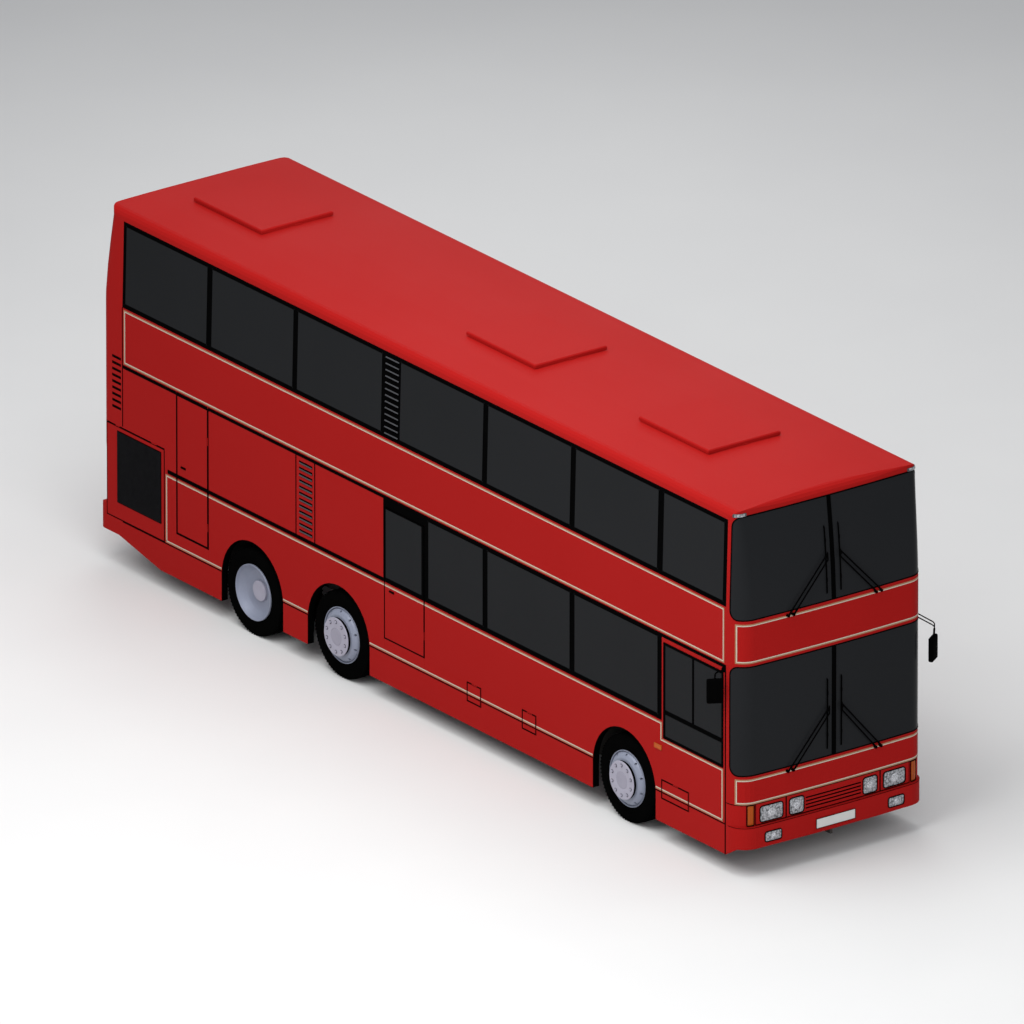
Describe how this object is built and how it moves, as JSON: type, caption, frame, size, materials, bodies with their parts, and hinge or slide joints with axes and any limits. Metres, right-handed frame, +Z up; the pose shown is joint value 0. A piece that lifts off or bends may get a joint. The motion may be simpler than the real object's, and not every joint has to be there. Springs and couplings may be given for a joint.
{
  "type": "three-axle double-deck coach",
  "caption": "Long double-deck coach with wrap-round windscreens, steering front wheels, hinged doors, flaps and roof hatches.",
  "frame": {"origin": "on the ground below the middle of the vehicle's length and width", "axes": "+X forward, +Y to the nearside (left), +Z up"},
  "size_m": [11.6709, 2.9054, 4.246],
  "materials": {
    "red_paint": "clearcoat",
    "black_trim": "satin",
    "dark_glass": "gloss",
    "clear_lens": "gloss",
    "amber_lens": "gloss",
    "red_lens": "gloss",
    "floor_covering": "matte",
    "inner_panel": "matte",
    "seat_fabric": "woven",
    "chassis_paint": "satin",
    "tyre_rubber": "matte",
    "wheel_silver": "satin"
  },
  "bodies": {
    "coach_body": {"skirt_panels": "red_paint", "side_panels": "red_paint", "lower_window_band": "black_trim", "deck_panels": "red_paint", "upper_window_band": "black_trim", "roof": "red_paint", "front_panel": "red_paint", "front_band": "red_paint", "windscreens": "dark_glass", "windscreen_posts": "black_trim", "bumpers": "red_paint", "rear_moulding": "red_paint", "rear_quarters": "red_paint", "rear_glass": "dark_glass", "window_glass": "dark_glass", "headlamps": "clear_lens", "amber_lamps": "amber_lens", "rear_lamps": "red_lens", "mirrors": "black_trim", "wipers": "black_trim", "lower_floor": "floor_covering", "upper_floor": "floor_covering", "wheelhouses": "inner_panel", "stairs": "floor_covering", "bulkheads": "inner_panel", "seats": "seat_fabric", "cab_fittings": "inner_panel", "chassis_frame": "chassis_paint", "cross_members": "chassis_paint", "axle_beams": "chassis_paint", "engine": "chassis_paint", "tanks": "chassis_paint"},
    "knuckle_left": {"knuckle_left": "chassis_paint"},
    "wheel_front_left": {"front_tyre_left": "tyre_rubber", "front_rim_left": "wheel_silver"},
    "wheel_middle_left": {"middle_tyre_left": "tyre_rubber", "middle_rim_left": "wheel_silver"},
    "wheel_rear_left": {"rear_tyres_left": "tyre_rubber", "rear_rim_left": "wheel_silver"},
    "knuckle_right": {"knuckle_right": "chassis_paint"},
    "wheel_front_right": {"front_tyre_right": "tyre_rubber", "front_rim_right": "wheel_silver"},
    "wheel_middle_right": {"middle_tyre_right": "tyre_rubber", "middle_rim_right": "wheel_silver"},
    "wheel_rear_right": {"rear_tyres_right": "tyre_rubber", "rear_rim_right": "wheel_silver"},
    "passenger_door": {"passenger_door": "red_paint", "passenger_door_glass": "dark_glass"},
    "emergency_door": {"emergency_door": "red_paint", "emergency_door_glass": "dark_glass"},
    "service_door": {"service_door": "red_paint"},
    "engine_flap_left": {"engine_flap_left": "red_paint"},
    "engine_flap_right": {"engine_flap_right": "red_paint"},
    "engine_door": {"engine_door": "red_paint"},
    "hatch_front": {"hatch_front": "red_paint"},
    "hatch_middle": {"hatch_middle": "red_paint"},
    "hatch_rear": {"hatch_rear": "red_paint"},
    "locker_flap": {"locker_flap": "red_paint"},
    "front_filler_flap": {"front_filler_flap": "red_paint"},
    "rear_filler_flap": {"rear_filler_flap": "red_paint"}
  },
  "joints": [
    {"name": "steer_left", "type": "hinge", "parent": "coach_body", "child": "knuckle_left", "pos_m": [3.73, 0.895, 0.495], "axis": [0, 0, 1], "range_deg": [-40, 40]},
    {"name": "spin_front_left", "type": "hinge", "parent": "knuckle_left", "child": "wheel_front_left", "pos_m": [3.73, 1.08, 0.495], "axis": [0, 1, 0], "continuous": true},
    {"name": "spin_middle_left", "type": "hinge", "parent": "coach_body", "child": "wheel_middle_left", "pos_m": [-1.415, 1.08, 0.495], "axis": [0, 1, 0], "continuous": true},
    {"name": "spin_rear_left", "type": "hinge", "parent": "coach_body", "child": "wheel_rear_left", "pos_m": [-2.985, 1.105, 0.495], "axis": [0, 1, 0], "continuous": true},
    {"name": "steer_right", "type": "hinge", "parent": "coach_body", "child": "knuckle_right", "pos_m": [3.73, -0.895, 0.495], "axis": [0, 0, 1], "range_deg": [-40, 40]},
    {"name": "spin_front_right", "type": "hinge", "parent": "knuckle_right", "child": "wheel_front_right", "pos_m": [3.73, -1.08, 0.495], "axis": [0, 1, 0], "continuous": true},
    {"name": "spin_middle_right", "type": "hinge", "parent": "coach_body", "child": "wheel_middle_right", "pos_m": [-1.415, -1.08, 0.495], "axis": [0, 1, 0], "continuous": true},
    {"name": "spin_rear_right", "type": "hinge", "parent": "coach_body", "child": "wheel_rear_right", "pos_m": [-2.985, -1.105, 0.495], "axis": [0, 1, 0], "continuous": true},
    {"name": "passenger_door_hinge", "type": "hinge", "parent": "coach_body", "child": "passenger_door", "pos_m": [5.494, 1.25, 1.3], "axis": [0, 0, -1], "range_deg": [0, 85]},
    {"name": "emergency_door_hinge", "type": "hinge", "parent": "coach_body", "child": "emergency_door", "pos_m": [0.135, -1.25, 1.5], "axis": [0, 0, 1], "range_deg": [0, 90]},
    {"name": "service_door_hinge", "type": "hinge", "parent": "coach_body", "child": "service_door", "pos_m": [-3.793, -1.25, 1.55], "axis": [0, 0, 1], "range_deg": [0, 90]},
    {"name": "engine_flap_left_hinge", "type": "hinge", "parent": "coach_body", "child": "engine_flap_left", "pos_m": [-5.118, 1.25, 1.655], "axis": [1, 0, 0], "range_deg": [0, 85]},
    {"name": "engine_flap_right_hinge", "type": "hinge", "parent": "coach_body", "child": "engine_flap_right", "pos_m": [-5.118, -1.25, 1.655], "axis": [-1, 0, 0], "range_deg": [0, 85]},
    {"name": "engine_door_hinge", "type": "hinge", "parent": "coach_body", "child": "engine_door", "pos_m": [-5.78, 0, 1.655], "axis": [0, 1, 0], "range_deg": [0, 80]},
    {"name": "hatch_front_hinge", "type": "hinge", "parent": "coach_body", "child": "hatch_front", "pos_m": [4.203, 0, 4.207], "axis": [0, 1, 0], "range_deg": [0, 70]},
    {"name": "hatch_middle_hinge", "type": "hinge", "parent": "coach_body", "child": "hatch_middle", "pos_m": [1.108, 0, 4.207], "axis": [0, 1, 0], "range_deg": [0, 70]},
    {"name": "hatch_rear_hinge", "type": "hinge", "parent": "coach_body", "child": "hatch_rear", "pos_m": [-3.842, 0, 4.207], "axis": [0, 1, 0], "range_deg": [0, 70]},
    {"name": "locker_flap_hinge", "type": "hinge", "parent": "coach_body", "child": "locker_flap", "pos_m": [4.6375, -1.25, 0.714], "axis": [-1, 0, 0], "range_deg": [0, 90]},
    {"name": "front_filler_flap_hinge", "type": "hinge", "parent": "coach_body", "child": "front_filler_flap", "pos_m": [2.0235, -1.25, 0.714], "axis": [-1, 0, 0], "range_deg": [0, 90]},
    {"name": "rear_filler_flap_hinge", "type": "hinge", "parent": "coach_body", "child": "rear_filler_flap", "pos_m": [1.0315, -1.25, 0.714], "axis": [-1, 0, 0], "range_deg": [0, 90]}
  ],
  "couplings": [
    {"joint": "steer_right", "follows": "steer_left", "ratio": 1}
  ]
}
